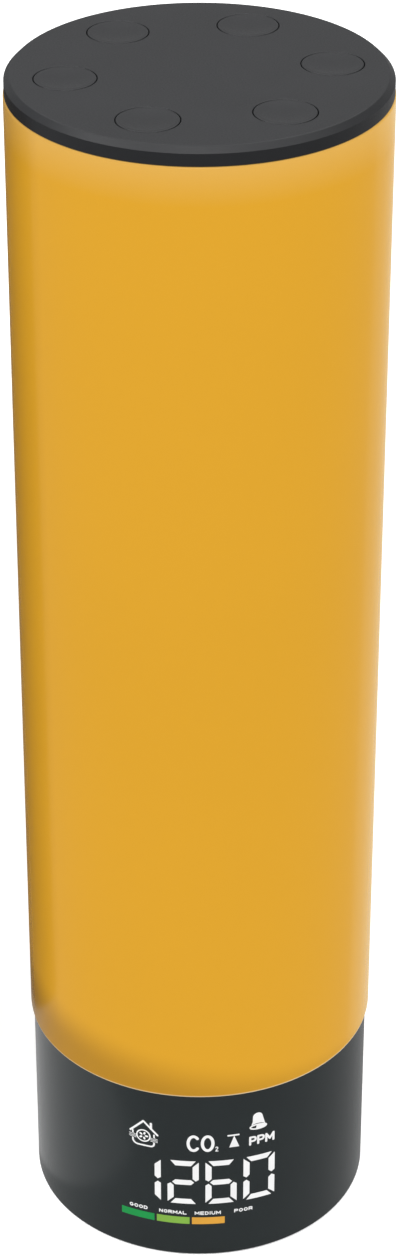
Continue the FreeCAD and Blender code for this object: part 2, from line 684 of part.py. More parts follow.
def co2_sensor_headers():
    """Two spacers that carry the sensor board above the main board."""
    return [
        block(x - 1.25, x + 1.25, 4, 13, MAIN_BOARD_TOP, SENSOR_BOARD_BOTTOM) for x in (-14.4, 14.4)
    ]


def co2_sensor_board():
    return block(-16, 16, 3, 22, SENSOR_BOARD_BOTTOM, SENSOR_BOARD_TOP)


def co2_sensor_chamber():
    """Gold-plated optical chamber with a shallow recess for its filter."""
    chamber = rounded_block(-13, 11, 5, 20, SENSOR_BOARD_TOP, SENSOR_CHAMBER_TOP, 2.0, V(0, 0, 1))
    return chamber.cut(block(-8, 6, 8.5, 16.5, SENSOR_CHAMBER_TOP - 0.5, SENSOR_CHAMBER_TOP))


def co2_sensor_filter():
    """Air-permeable membrane in the chamber's recess."""
    return block(-7.9, 5.9, 8.6, 16.4, SENSOR_CHAMBER_TOP - 0.5, SENSOR_CHAMBER_TOP)


def alarm_buzzer():
    """Round buzzer with a sound hole."""
    can = disc(6, MAIN_BOARD_TOP, MAIN_BOARD_TOP + 9, -17, -6)
    can = can.makeFillet(0.6, circle_edges(can, 6, MAIN_BOARD_TOP + 9))
    return can.cut(disc(1.2, MAIN_BOARD_TOP + 7, MAIN_BOARD_TOP + 9, -17, -6))


def usb_socket_shell():
    """Steel mouth of the power socket: a flat tube with round sides."""
    half, height = SOCKET_HALF_WIDTH, SOCKET_HEIGHT / 2
    outer = rounded_block(-half, half, SOCKET_BACK_Y, SOCKET_MOUTH_Y,
                          SOCKET_Z - height, SOCKET_Z + height, height - 0.01, V(0, 1, 0))
    half -= SOCKET_WALL
    height -= SOCKET_WALL
    inner = rounded_block(-half, half, SOCKET_BACK_Y, SOCKET_MOUTH_Y,
                          SOCKET_Z - height, SOCKET_Z + height, height - 0.01, V(0, 1, 0))
    return outer.cut(inner)


def usb_socket_tongue():
    """Plastic core of the power socket with the contact tongue."""
    half = SOCKET_HALF_WIDTH - SOCKET_WALL
    height = SOCKET_HEIGHT / 2 - SOCKET_WALL
    core = rounded_block(-half, half, SOCKET_BACK_Y, SOCKET_BACK_Y + 1.8,
                         SOCKET_Z - height, SOCKET_Z + height, height - 0.01, V(0, 1, 0))
    tongue = block(-3.35, 3.35, SOCKET_BACK_Y + 1.8, SOCKET_MOUTH_Y - 0.6, SOCKET_Z - 0.35, SOCKET_Z + 0.35)
    return union(core, tongue)


# ---------------------------------------------------------------- display

def segment_outlines():
    """The seven segments of one digit as (x, z) corners from the digit's lower left corner."""
    w, h, t, g = DIGIT_WIDTH, DIGIT_HEIGHT, SEGMENT_WIDTH, SEGMENT_GAP
    middle, half = h / 2, t / 2
    top = [(g, h), (w - g, h), (w - t - g, h - t), (t + g, h - t)]
    upper_left = [
        (0, h - g), (t, h - t - g), (t, middle + half + g), (half, middle + g), (0, middle + half * 0.7 + g),
    ]
    bar = [
        (half + g, middle), (t + g, middle + half), (w - t - g, middle + half),
        (w - half - g, middle), (w - t - g, middle - half), (t + g, middle - half),
    ]

    def mirrored(outline, in_x, in_z):
        return [(w - x if in_x else x, h - z if in_z else z) for x, z in outline]

    return {
        "a": top,
        "b": mirrored(upper_left, True, False),
        "c": mirrored(upper_left, True, True),
        "d": mirrored(top, False, True),
        "e": mirrored(upper_left, False, True),
        "f": upper_left,
        "g": bar,
    }


def sign_windows():
    """Rectangles (x0, x1, z0, z1) behind the signs above the digits and the words below them."""
    return {
        "ventilate": (-16.6, -9.3, 30.7, 39.1),
        "gas_name": (-3.3, 4.9, 30.6, 36.3),
        "high_alarm": (6.1, 9.7, 31.6, 36.0),
        "unit": (11.1, 17.6, 31.3, 34.7),
        "bell": (11.2, 15.9, 35.5, 41.1),
        "good": (-16.5, -12.0, 12.0, 13.9),
        "normal": (-9.6, -2.9, 12.0, 13.9),
        "medium": (-1.3, 5.1, 12.0, 13.9),
        "poor": (7.9, 12.5, 12.0, 13.9),
    }


def display_openings():
    """The outline of every light channel of the display."""
    outlines = []
    for k in range(DIGIT_COUNT):
        left = DIGIT_LEFT + DIGIT_PITCH * k
        for outline in segment_outlines().values():
            outlines.append([(left + x, DIGIT_BOTTOM + z) for x, z in outline])
    boxes = list(sign_windows().values())
    for k in range(BAR_COUNT):
        left = BAR_LEFT + BAR_PITCH * k
        boxes.append((left, left + BAR_WIDTH, BAR_BOTTOM, BAR_BOTTOM + BAR_HEIGHT))
    for x0, x1, z0, z1 in boxes:
        outlines.append([(x0, z0), (x1, z0), (x1, z1), (x0, z1)])
    return outlines


def display_board():
    """Flat board behind the light box."""
    board = block(-20.5, 20.5, DISPLAY_BOARD_FRONT, DISPLAY_BOARD_BACK, 6.5, 43.6)
    for x, z in display_screw_places():
        hole = Part.makeCylinder(TINY_SCREW[2] + 0.2, 4, V(x, DISPLAY_BOARD_FRONT - 1, z), V(0, 1, 0))
        board = board.cut(hole)
    return board


def display_screw_places():
    return [(x, z) for x in (-18.6, 18.6) for z in (8.5, 42.0)]


def display_light_box():
    """Black block with a light channel for each sign; flat behind, round in front."""
    box = disc(LIGHT_BOX_RADIUS, DISPLAY_BOTTOM, DISPLAY_TOP).common(
        block(-DISPLAY_HALF_WIDTH, DISPLAY_HALF_WIDTH, -40, DISPLAY_BOARD_FRONT, DISPLAY_BOTTOM, DISPLAY_TOP)
    )
    channels = [prism(outline, -40, DISPLAY_BOARD_FRONT + 1) for outline in display_openings()]
    pilots = [
        Part.makeCylinder(TINY_SCREW[2] + 0.03, 2.2, V(x, DISPLAY_BOARD_FRONT, z), V(0, -1, 0))
        for x, z in display_screw_places()
    ]
    return box.cut(channels + pilots)


def display_film():
    """Thin curved diffusing film between the light box and the tinted wall."""
    film = ring(LIGHT_BOX_RADIUS, LIGHT_BOX_RADIUS + FILM_THICKNESS, DISPLAY_BOTTOM, DISPLAY_TOP)
    return film.common(
        block(-DISPLAY_HALF_WIDTH, DISPLAY_HALF_WIDTH, -40, DISPLAY_BOARD_FRONT, DISPLAY_BOTTOM, DISPLAY_TOP)
    )


def display_leds():
    """One small LED in the middle of each light channel."""
    leds = []
    for outline in display_openings():
        x = sum(p[0] for p in outline) / len(outline)
        z = sum(p[1] for p in outline) / len(outline)
        wide = max(p[0] for p in outline) - min(p[0] for p in outline)
        along_x = 0.6 if wide > 2 else 0.4
        along_z = 0.4 if wide > 2 else 0.6
        leds.append(block(x - along_x, x + along_x, DISPLAY_BOARD_FRONT - 0.5, DISPLAY_BOARD_FRONT,
                          z - along_z, z + along_z))
    return leds


def display_driver_chip():
    return block(-4, 4, DISPLAY_BOARD_BACK, DISPLAY_BOARD_BACK + 1.4, 31, 39)


def display_screws():
    return [
        screw(TINY_SCREW, 3.4, (x, DISPLAY_BOARD_BACK, z), V(0, -1, 0)) for x, z in display_screw_places()
    ]


# ---------------------------------------------------------------- internal cables

def button_cable():
    """From the main board, up inside the mast, to the connector under the button board."""
    x, y = BUTTON_PLUG
    level = 264.3
    return cable(
        [
            (x, y, PLUG_TOP), (x, y, 29.0), (0, 0, 38.0), (0, 0, level),
            (*polar(BUTTON_CONNECTOR_INNER, BUTTON_CONNECTOR_ANGLE), level),
        ],
        BUTTON_CABLE_DIAMETER,
    )


def led_cable():
    """From the main board, through the deck, to the lower end of the front LED strip."""
    x, y = LED_PLUG
    beside_strip = -(MAST_HALF + STRIP_THICKNESS + LED_CABLE_DIAMETER / 2)
    return cable(
        [
            (x, y, PLUG_TOP), (x, y, 28.0), (0, LED_CABLE_Y, 37.0), (0, LED_CABLE_Y, 54.0),
            (0, beside_strip, 61.0), (0, beside_strip, 67.5),
        ],
        LED_CABLE_DIAMETER,
    )


# ---------------------------------------------------------------- all nodes

def all_nodes():
    """Every node's name and shape, or list of separate solids."""
    nodes = {
        "top_cover": top_cover(),
        "tact_switches": [tact_switch(a) for a in button_angles()],
        "switch_domes": [switch_dome(a) for a in button_angles()],
        "button_board": button_board(),
        "button_board_connector": button_board_connector(),
        "button_board_screws": button_board_screws(),
        "upper_seal": seal(UPPER_GROOVE_BOTTOM),
        "diffuser_tube": diffuser_tube(),
        "lower_seal": seal(LOWER_GROOVE_BOTTOM),
        "mast_tube": mast_tube(),
        "mast_foot": mast_foot(),
        "mast_cap": mast_cap(),
        "mast_screws": mast_screws(),
        "mast_foot_screws": mast_foot_screws(),
        "strip_jumpers": strip_jumpers(),
        "base_shell": base_shell(),
        "deck_plate": deck_plate(),
        "deck_screws": deck_screws(),
        "base_plate": base_plate(),
        "base_plate_screws": base_plate_screws(),
        "rubber_feet": rubber_feet(),
        "main_board": main_board(),
        "main_board_screws": main_board_screws(),
        "controller_chip": controller_chip(),
        "power_capacitors": power_capacitors(),
        "power_inductor": power_inductor(),
        "board_connectors": board_connectors(),
        "display_ribbon": display_ribbon(),
        "co2_sensor_headers": co2_sensor_headers(),
        "co2_sensor_board": co2_sensor_board(),
        "co2_sensor_chamber": co2_sensor_chamber(),
        "co2_sensor_filter": co2_sensor_filter(),
        "alarm_buzzer": alarm_buzzer(),
        "usb_socket_shell": usb_socket_shell(),
        "usb_socket_tongue": usb_socket_tongue(),
        "display_board": display_board(),
        "display_light_box": display_light_box(),
        "display_film": display_film(),
        "display_leds": display_leds(),
        "display_driver_chip": display_driver_chip(),
        "display_screws": display_screws(),
        "button_cable": button_cable(),
        "led_cable": led_cable(),
    }
    for number, angle in enumerate(button_angles(), start=1):
        nodes[f"button_cap_{number}"] = button_cap(angle)
        nodes[f"switch_plunger_{number}"] = switch_plunger(angle)
    for side, angle in (("right", 0.0), ("back", 90.0), ("left", 180.0), ("front", 270.0)):
        nodes[f"led_strip_{side}"] = turn(led_strip(), angle)
    nodes["led_chips"] = [turn(chip, 90.0 * k) for k in range(4) for chip in led_chips()]
    return nodes


def main():
    os.makedirs("parts", exist_ok=True)
    for name, shape in all_nodes().items():
        if isinstance(shape, list):
            shape = Part.makeCompound(shape)
        shape.exportStep(f"parts/{name}.step")
        state = "ok" if shape.isValid() and shape.Solids else "BAD"
        print(f"{name}: {len(shape.Solids)} solids, {shape.Volume / 1000:.2f} cm3, {state}")


main()
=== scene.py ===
"""Looks of the carbon dioxide monitor lamp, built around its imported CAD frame.

Metres, in the CAD's own frame: +Z up, the display faces -Y. The CAD gives the object's shape and
size. This file adds the fine mesh of the column, the lit display, the materials and the studio.
"""

import json
import math

import bmesh
import bpy
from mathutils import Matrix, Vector
from mathutils.geometry import delaunay_2d_cdt


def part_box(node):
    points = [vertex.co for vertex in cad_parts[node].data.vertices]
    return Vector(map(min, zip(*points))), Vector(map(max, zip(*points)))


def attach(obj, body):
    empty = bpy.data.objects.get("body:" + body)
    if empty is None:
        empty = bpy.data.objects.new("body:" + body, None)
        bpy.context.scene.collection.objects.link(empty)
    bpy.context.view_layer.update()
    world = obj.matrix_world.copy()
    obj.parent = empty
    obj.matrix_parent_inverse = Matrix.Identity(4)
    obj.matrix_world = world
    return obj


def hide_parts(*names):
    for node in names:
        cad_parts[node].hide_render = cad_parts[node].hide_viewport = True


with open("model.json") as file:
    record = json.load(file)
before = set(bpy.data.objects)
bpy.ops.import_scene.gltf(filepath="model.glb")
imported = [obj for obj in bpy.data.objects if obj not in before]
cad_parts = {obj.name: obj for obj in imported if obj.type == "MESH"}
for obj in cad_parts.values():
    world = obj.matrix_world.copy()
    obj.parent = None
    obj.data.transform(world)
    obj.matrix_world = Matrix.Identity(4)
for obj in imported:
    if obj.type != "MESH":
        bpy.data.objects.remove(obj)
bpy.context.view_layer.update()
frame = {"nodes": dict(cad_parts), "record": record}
scene = bpy.context.scene

MM = 0.001

# Places and sizes that come from the CAD.
COLUMN_LOW, COLUMN_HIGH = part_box("diffuser_tube")
COLUMN_RADIUS = COLUMN_HIGH.x
COLUMN_WALL = 2.5 * MM
BASE_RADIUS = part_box("base_shell")[1].x

# The camera looks along +Y and down by so many degrees. Its lens is in millimetres.
CAMERA_LENS = 97.88
CAMERA_PLACE = (0.0002, -0.6515, 0.54)
CAMERA_DOWN = 31.026

# Colours, linear.
WHITE = (1.0, 1.0, 1.0)
AMBER = (0.83, 0.43, 0.022)
# Under the lid the glow turns paler: a painted highlight.
AMBER_PAINTED_HIGHLIGHT = (0.92, 0.6, 0.19)
# A thin pale line at the column's lower edge: a painted rim highlight.
RIM_PAINTED_HIGHLIGHT = (0.6, 0.78, 0.8)
DARK_PLASTIC = (0.0078, 0.0085, 0.0101)
BAR_COLOURS = {
    "good": (0.002, 0.33, 0.065),
    "normal": (0.24, 0.49, 0.06),
    "medium": (0.86, 0.42, 0.045),
}

# Strengths of the light that comes out of the object.
COLUMN_GLOW = 0.355
# The rim strength is that of a painted rim highlight along the column's lower edge.
RIM_HIGHLIGHT_GLOW = 0.45
SIGN_GLOW = 0.95
BAR_GLOW = 0.92

# Most of a noise texture's values lie between these two.
NOISE_LOW, NOISE_HIGH = 0.3, 0.7


# ---------------------------------------------------------------- camera, floor and light

def make_camera():
    camera = bpy.data.cameras.new("camera")
    camera.sensor_width = 36
    camera.lens = CAMERA_LENS
    camera.clip_start = 0.01
    camera.clip_end = 50
    holder = bpy.data.objects.new("camera", camera)
    holder.location = CAMERA_PLACE
    holder.rotation_euler = (math.radians(90 - CAMERA_DOWN), 0, 0)
    scene.collection.objects.link(holder)
    scene.camera = holder


def area_light(name, place, target, size, power, colour=WHITE):
    """A rectangular soft light at place, facing target. No view shows the lamp itself."""
    light = bpy.data.lights.new(name, "AREA")
    light.shape = "RECTANGLE"
    light.size, light.size_y = size
    light.energy = power
    light.color = colour
    holder = bpy.data.objects.new(name, light)
    holder.location = place
    aim = Vector(target) - Vector(place)
    holder.rotation_euler = aim.to_track_quat("-Z", "Y").to_euler()
    holder.visible_camera = False
    scene.collection.objects.link(holder)
    return holder


def link_to_column(lamp, state):
    """Makes a lamp light only the column (INCLUDE), or everything but the column (EXCLUDE)."""
    receivers = bpy.data.collections.new(lamp.name + "_receivers")
    receivers.objects.link(bpy.data.objects["light_column"])
    receivers.collection_objects[0].light_linking.link_state = state
    lamp.light_linking.receiver_collection = receivers


def make_floor(half=6.0):
    """A pale floor that is a little bright by itself, so that shadows on it stay faint."""
    corners = [(-half, -half, 0), (half, -half, 0), (half, half, 0), (-half, half, 0)]
    floor = mesh_object("floor", corners, [(0, 1, 2, 3)])
    floor.visible_glossy = False
    paper, shader = new_material("floor_paper")
    set_up(shader, Base_Color=(0.92, 0.92, 0.92, 1), Roughness=0.9, Specular_IOR_Level=0.1)
    set_up(shader, Emission_Color=(1, 1, 1, 1), Emission_Strength=0.45)
    floor.data.materials.append(paper)


def make_dark_flag():
    """A dark card that darkens the left edge of the column. The camera doesn't see it.

    It starts close to the column and runs back and outwards. Its lower edge falls towards the back.
    """
    near_x, near_y, near_low = -0.058, -0.01, 0.04
    far_x, far_y, far_low = -0.1, 0.4, -0.235
    top = 0.274
    corners = [
        (near_x, near_y, near_low), (far_x, far_y, far_low),
        (far_x, far_y, top), (near_x, near_y, top),
    ]
    flag = mesh_object("dark_flag", corners, [(0, 1, 2, 3)])
    flag.visible_camera = False
    felt, shader = new_material("flag_felt")
    set_up(shader, Base_Color=(0.13, 0.13, 0.13, 1), Roughness=1.0, Specular_IOR_Level=0.0)
    flag.data.materials.append(felt)


def make_world(strength=0.45):
    world = bpy.data.worlds.new("studio")
    world.use_nodes = True
    sky = world.node_tree.nodes["Background"]
    sky.inputs["Color"].default_value = (1, 1, 1, 1)
    sky.inputs["Strength"].default_value = strength
    scene.world = world


def make_studio():
    """World, floor, dark card and lamps. Runs after make_column: some lamps link to the column."""
    make_world()
    make_floor()
    make_dark_flag()
    area_light("overhead", place=(0, 0.2, 1.4), target=(0, 0.2, 0), size=(2.4, 2.2), power=27)
    area_light(
        "front_fill", place=(0, -0.9, 1.25), target=(0, -0.05, 0.2), size=(0.6, 0.4), power=5.5,
    )
    low_left = area_light(
        "low_left", place=(-0.095, 0.008, 0.001), target=(-0.095, 0.008, 1.0), size=(0.11, 0.136),
        power=0.0125,
    )
    left_fill = area_light(
        "left_fill", place=(-0.9, -0.35, 0.95), target=(0, 0, 0.25), size=(0.5, 0.5), power=4.5,
    )
    card_right = area_light(
        "card_right", place=(0.062, 0.2, 0.1), target=(-1.0, 0.2, 0.1), size=(0.4, 0.36),
        power=0.12, colour=(0.8, 1, 0.75),
    )
    link_to_column(low_left, "EXCLUDE")
    link_to_column(left_fill, "EXCLUDE")
    link_to_column(card_right, "INCLUDE")

    scene.view_settings.view_transform = "Standard"
    scene.view_settings.look = "None"


# ---------------------------------------------------------------- meshes

def mesh_object(name, points, faces):
    mesh = bpy.data.meshes.new(name)
    mesh.from_pydata(points, [], faces)
    mesh.validate()
    made = bpy.data.objects.new(name, mesh)
    scene.collection.objects.link(made)
    return made


def clean(thing):
    """Welded points, outward normals, smooth faces with crisp corners."""
    work = bmesh.new()
    work.from_mesh(thing.data)
    bmesh.ops.remove_doubles(work, verts=work.verts, dist=1e-7)
    bmesh.ops.recalc_face_normals(work, faces=work.faces)
    work.to_mesh(thing.data)
    work.free()
    thing.data.shade_smooth()
    thing.data.set_sharp_from_angle(angle=math.radians(40))
    return thing


def arc(x, z, radius_x, radius_z, start, end, steps=24):
    """Points along an elliptical arc, in degrees counter-clockwise from +x."""
    angles = [math.radians(start + (end - start) * k / steps) for k in range(steps + 1)]
    return [(x + radius_x * math.cos(a), z + radius_z * math.sin(a)) for a in angles]


def lathe(name, outline, segments=360):
    """A ring turned from a closed (radius, z) outline."""
    points, faces = [], []
    n = len(outline)
    for s in range(segments):
        angle = 2 * math.pi * s / segments
        points += [(r * math.cos(angle), r * math.sin(angle), z) for r, z in outline]
        here, there = s * n, (s + 1) % segments * n
        for i in range(n):
            j = (i + 1) % n
            faces.append((here + i, there + i, there + j, here + j))
    return clean(mesh_object(name, points, faces))


def make_column():
    """The milky column. Its edges are rounded, by more outside than at the bore."""
    bore = COLUMN_RADIUS - COLUMN_WALL
    low, high = COLUMN_LOW.z, COLUMN_HIGH.z
    outer, inner = 0.5 * MM, 0.2 * MM
    column = lathe("light_column", [
        *arc(COLUMN_RADIUS - outer, low + outer, outer, outer, -90, 0, 8),
        *arc(COLUMN_RADIUS - outer, high - outer, outer, outer, 0, 90, 8),
        *arc(bore + inner, high - inner, inner, inner, 90, 180, 4),
        *arc(bore + inner, low + inner, inner, inner, 180, 270, 4),
    ])
    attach(column, "root")
    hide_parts("diffuser_tube")
    column.data.materials.append(milky_amber())


# ---------------------------------------------------------------- display

def segment_outlines(width=7.25, height=12.7, thick=1.42, gap=0.38, tip=0.72):
    """The seven segments of a digit as (x, z) outlines from its lower left corner, in millimetres.

    The gap is what keeps them apart. The tip is how far the top one's points are from the sides.
    """
    middle, half = height / 2, thick / 2
    top = [
        (tip, height), (width - tip, height),
        (width - thick - gap, height - thick), (thick + gap, height - thick),
    ]
    upper_left = [
        (0, height - gap), (thick, height - thick - gap), (thick, middle + half + gap),
        (half, middle + gap), (0, middle + half * 0.7 + gap),
    ]
    bar = [
        (half + gap, middle), (thick + gap, middle + half),
        (width - thick - gap, middle + half), (width - half - gap, middle),
        (width - thick - gap, middle - half), (thick + gap, middle - half),
    ]

    def mirrored(outline, across, over):
        return [(width - x if across else x, height - z if over else z) for x, z in outline]

    return {
        "a": top, "d": mirrored(top, False, True), "g": bar,
        "f": upper_left, "b": mirrored(upper_left, True, False),
        "e": mirrored(upper_left, False, True), "c": mirrored(upper_left, True, True),
    }


LIT_SEGMENTS = {"0": "abcdef", "1": "bc", "2": "abged", "6": "afgedc"}


def digits(figure, left=-16.25, bottom=15.6, pitch=8.8):
    """The lit segments of a figure."""
    outlines = segment_outlines()
    return [
        [(left + pitch * k + x, bottom + z) for x, z in outlines[s]]
        for k, digit in enumerate(figure) for s in LIT_SEGMENTS[digit]
    ]


def stroke(points, width):
    """Outlines that cover a line of that width, with round ends and corners."""
    shapes = [arc(x, z, width / 2, width / 2, 0, 360, 12)[:-1] for x, z in points]
    for a, b in zip(points, points[1:]):
        along = Vector((b[0] - a[0], b[1] - a[1]))
        side = Vector((-along.y, along.x)).normalized() * (width / 2)
        shapes.append([
            (a[0] + side.x, a[1] + side.y), (a[0] - side.x, a[1] - side.y),
            (b[0] - side.x, b[1] - side.y), (b[0] + side.x, b[1] + side.y),
        ])
    return shapes


# Pen strokes of plain capitals, each in a box one unit high and one wide.
BOWL = [(0, 0), (0, 1), *arc(0.6, 0.73, 0.4, 0.27, 90, -90, 8), (0, 0.46)]
CAPITALS = {
    "A": [[(0, 0), (0.5, 1), (1, 0)], [(0.2, 0.36), (0.8, 0.36)]],
    "D": [[(0, 0), (0, 1), *arc(0.45, 0.5, 0.55, 0.5, 90, -90, 10), (0, 0)]],
    "E": [[(1, 1), (0, 1), (0, 0), (1, 0)], [(0, 0.5), (0.85, 0.5)]],
    "G": [[*arc(0.5, 0.5, 0.5, 0.5, 45, 350, 14), (0.6, 0.42)]],
    "I": [[(0.5, 0), (0.5, 1)]],
    "L": [[(0, 1), (0, 0), (1, 0)]],
    "M": [[(0, 0), (0, 1), (0.5, 0.3), (1, 1), (1, 0)]],
    "N": [[(0, 0), (0, 1), (1, 0), (1, 1)]],
    "O": [arc(0.5, 0.5, 0.5, 0.5, 0, 360, 18)],
    "P": [BOWL],
    "R": [BOWL, [(0.5, 0.46), (1, 0)]],
    "U": [[(0, 1), *arc(0.5, 0.38, 0.5, 0.38, 180, 360, 8), (1, 1)]],
}
LETTER_WIDTHS = {"I": 0.12, "M": 1.3}


def lettering(word, x0, x1, z0, z1, weight, gap=0.45):
    """A word in plain capitals that fills the box."""
    widths = [LETTER_WIDTHS.get(letter, 1.0) for letter in word]
    unit = (x1 - x0 - weight) / (sum(widths) + gap * (len(word) - 1))
    height = z1 - z0 - weight
    shapes, left = [], x0 + weight / 2
    for letter, width in zip(word, widths):
        for line in CAPITALS[letter]:
            placed = [(left + x * width * unit, z0 + weight / 2 + z * height) for x, z in line]
            shapes += stroke(placed, weight)
        left += (width + gap) * unit
    return shapes


def house_sign(x=-12.95, floor=31.4, eaves=35.1, ridge=38.5):
    """A house with a chimney, a fan in its wall and air that moves through both side walls."""
    wall, corner = 2.45, 1.2
    small = corner * 0.7
    roof_pen, chimney_pen, wall_pen, ground_pen, wave_pen = 0.46, 0.55, 0.36, 0.4, 0.11
    shapes = stroke([(x - 3.0, eaves), (x, ridge), (x + 3.25, eaves - 0.1)], roof_pen)
    shapes += stroke([(x + 1.75, ridge - 0.4), (x + 1.75, ridge - 1.9)], chimney_pen)
    shapes += stroke([(x - wall, eaves), (x - wall, eaves - 0.5)], wall_pen)
    shapes += stroke([(x + wall, eaves - 0.2), (x + wall, eaves - 0.9)], wall_pen)
    shapes += stroke([
        (x - wall, eaves - 2.2),
        *arc(x - wall + corner, floor + corner, corner, corner, 180, 270, 8),
        *arc(x + wall - small, floor + small, small, small, 270, 360, 8),
        (x + wall, eaves - 2.6),
    ], ground_pen)
    for centre_x, centre_z in ((x - wall, eaves - 1.35), (x + wall, eaves - 1.75)):
        for rise in (-0.42, 0.0, 0.42):
            height = centre_z + rise
            wave = [(centre_x + 0.2 * k, height + 0.09 * math.sin(1.4 * k)) for k in range(-4, 5)]
            shapes += stroke(wave, wave_pen)
    return shapes + fan(x, floor + 2.8)


def fan(x, hub, blades=5, ring_pen=0.3):
    """A ring with the blades of a fan inside it."""
    shapes = stroke(arc(x, hub, 1.52, 1.62, 0, 360, 32), ring_pen)
    for k in range(blades):
        turn = math.radians(70 + 360 / blades * k)
        middle = (x + 0.72 * math.cos(turn), hub + 0.76 * math.sin(turn))
        shapes.append([
            (middle[0] + px * math.cos(turn) - pz * math.sin(turn),
             middle[1] + px * math.sin(turn) + pz * math.cos(turn))
            for px, pz in arc(0, 0, 0.4, 0.24, 0, 360, 16)[:-1]
        ])
    return shapes


def bell_sign(x=13.5, mouth=36.75, pen=0.36):
    """A bell seen a little from below: a dome, and a mouth that is open at the left."""
    rim_x, rim_z = 1.85, 0.62
    dome = [
        *arc(x - 0.15, mouth + 2.95, 1.1, 1.1, 10, 170, 16),
        (x - 1.3, mouth + 1.6), (x - 1.55, mouth + 0.75),
        *arc(x, mouth + 0.1, 1.75, 0.95, 152, 25, 12),
    ]
    lip = stroke(arc(x, mouth, rim_x, rim_z, 0, 360, 32), pen)
    fill = [
        (x - 0.55, mouth - 0.55),
        *arc(x, mouth, rim_x, rim_z, -80, 95, 16),
        (x - 0.35, mouth + 0.55),
    ]
    return [dome, fill, *lip]


def high_level_sign(x=7.95, low=32.0, high=35.45, pen=0.4):
    """A line over a triangle: the upper alarm level."""
    line = stroke([(x - 1.4, high), (x + 1.05, high)], pen)
    triangle = [(x, high - 0.15), (x - 1.12, low), (x + 1.18, low)]
    return [*line, triangle]


def gas_name(z=33.56, high=2.06, pen=0.72, small_pen=0.21):
    """The formula of carbon dioxide."""
    letter_c = stroke(arc(-1.4, z, 1.25, high, 45, 315), pen)
    letter_o = stroke(arc(1.85, z, 1.22, high, 0, 360, 36), pen)
    figure = [*arc(3.95, 32.15, 0.24, 0.28, 165, -35, 10), (3.7, 31.25), (4.22, 31.25)]
    return letter_c + letter_o + stroke(figure, small_pen)


def level_words(low=12.3, high=13.3):
    """Plain words for the four levels, one above each bar's place."""
    spans = {
        "GOOD": (-16.35, -12.15),
        "NORMAL": (-9.45, -3.05),
        "MEDIUM": (-1.15, 4.95),
        "POOR": (8.05, 12.35),
    }
    shapes = []
    for word, (x0, x1) in spans.items():
        shapes += lettering(word, x0, x1, low, high, weight=0.22, gap=0.55)
    return shapes


def bar(number, left=-18.2, bottom=9.5, width=7.65, height=2.0, pitch=8.2):
    """One of the coloured bars under the words, counted from the left."""
    x = left + pitch * number
    return [[(x, bottom), (x + width, bottom), (x + width, bottom + height), (x, bottom + height)]]


def flat_triangles(shapes, slice_width):
    """Points and triangles that cover (x, z) outlines, joined where they overlap.

    The outlines are cut into narrow upright slices, so that the triangles can follow a curved wall.
    """
    points, faces, cuts = [], [], []
    for shape in shapes:
        area = sum(a[0] * b[1] - b[0] * a[1] for a, b in zip(shape, shape[1:] + shape[:1]))
        ring = shape if area > 0 else shape[::-1]
        faces.append(list(range(len(points), len(points) + len(ring))))
        points += ring
    xs, zs = [p[0] for p in points], [p[1] for p in points]
    low, high = math.floor(min(xs) / slice_width), math.ceil(max(xs) / slice_width)
    bottom, top = min(zs) - 1, max(zs) + 1
    for k in range(low, high + 1):
        cuts.append((len(points), len(points) + 1))
        points += [(k * slice_width, bottom), (k * slice_width, top)]
    cut = delaunay_2d_cdt([Vector(p) for p in points], cuts, faces, 0, 1e-5)
    spots, triangles, origins = cut[0], cut[2], cut[5]
    kept = [tuple(t) for t, origin in zip(triangles, origins) if origin]
    used = sorted({i for t in kept for i in t})
    number = {old: new for new, old in enumerate(used)}
    return [spots[i] for i in used], [tuple(number[i] for i in t) for t in kept]


def lit_tile(name, shapes, material, proud=0.04 * MM, sunk=0.03 * MM, slice_width=0.6):
    """A thin closed tile on the base's wall, from (x, z) outlines in millimetres."""
    spots, kept = flat_triangles(shapes, slice_width)

    def on_wall(radius):
        spread = [(spot.x * MM, spot.y * MM) for spot in spots]
        return [(x, -math.sqrt(radius ** 2 - x ** 2), z) for x, z in spread]

    n = len(spots)
    edges = {(t[i], t[(i + 1) % 3]) for t in kept for i in range(3)}
    rim = sorted((a, b) for a, b in edges if (b, a) not in edges)
    back = [(c + n, b + n, a + n) for a, b, c in kept]
    sides = [(b, a, a + n, b + n) for a, b in rim]
    points = on_wall(BASE_RADIUS + proud) + on_wall(BASE_RADIUS - sunk)
    tile = clean(mesh_object(name, points, kept + back + sides))
    tile.data.materials.append(material)
    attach(tile, "root")
    return tile


def make_display():
    white = lit_plastic("lit_white", WHITE, SIGN_GLOW)
    lit_tile("lit_digits", digits("1260"), white)
    lit_tile("lit_gas_name", gas_name(), white)
    lit_tile("lit_unit", lettering("PPM", 11.4, 17.3, 31.55, 34.15, weight=0.5), white)
    lit_tile("lit_bell", bell_sign(), white)
    lit_tile("lit_high_level", high_level_sign(), white)
    lit_tile("lit_house", house_sign(), white)
    lit_tile("lit_words", level_words(), white)
    for number, (level, colour) in enumerate(BAR_COLOURS.items()):
        lit_tile(f"lit_bar_{level}", bar(number), lit_plastic(f"lit_{level}", colour, BAR_GLOW))


# ---------------------------------------------------------------- materials

def new_material(name):
    material = bpy.data.materials.new(name)
    material.use_nodes = True
    return material, material.node_tree.nodes["Principled BSDF"]


def set_up(node, **values):
    """Sets a node's inputs, or else its own settings; an underscore stands for a space."""
    for key, value in values.items():
        socket = key.replace("_", " ")
        if socket in node.inputs:
            node.inputs[socket].default_value = value
        else:
            setattr(node, key, value)
    return node


def add(material, kind, **values):
    return set_up(material.node_tree.nodes.new("ShaderNode" + kind), **values)


def join(material, source, target):
    material.node_tree.links.new(source, target)


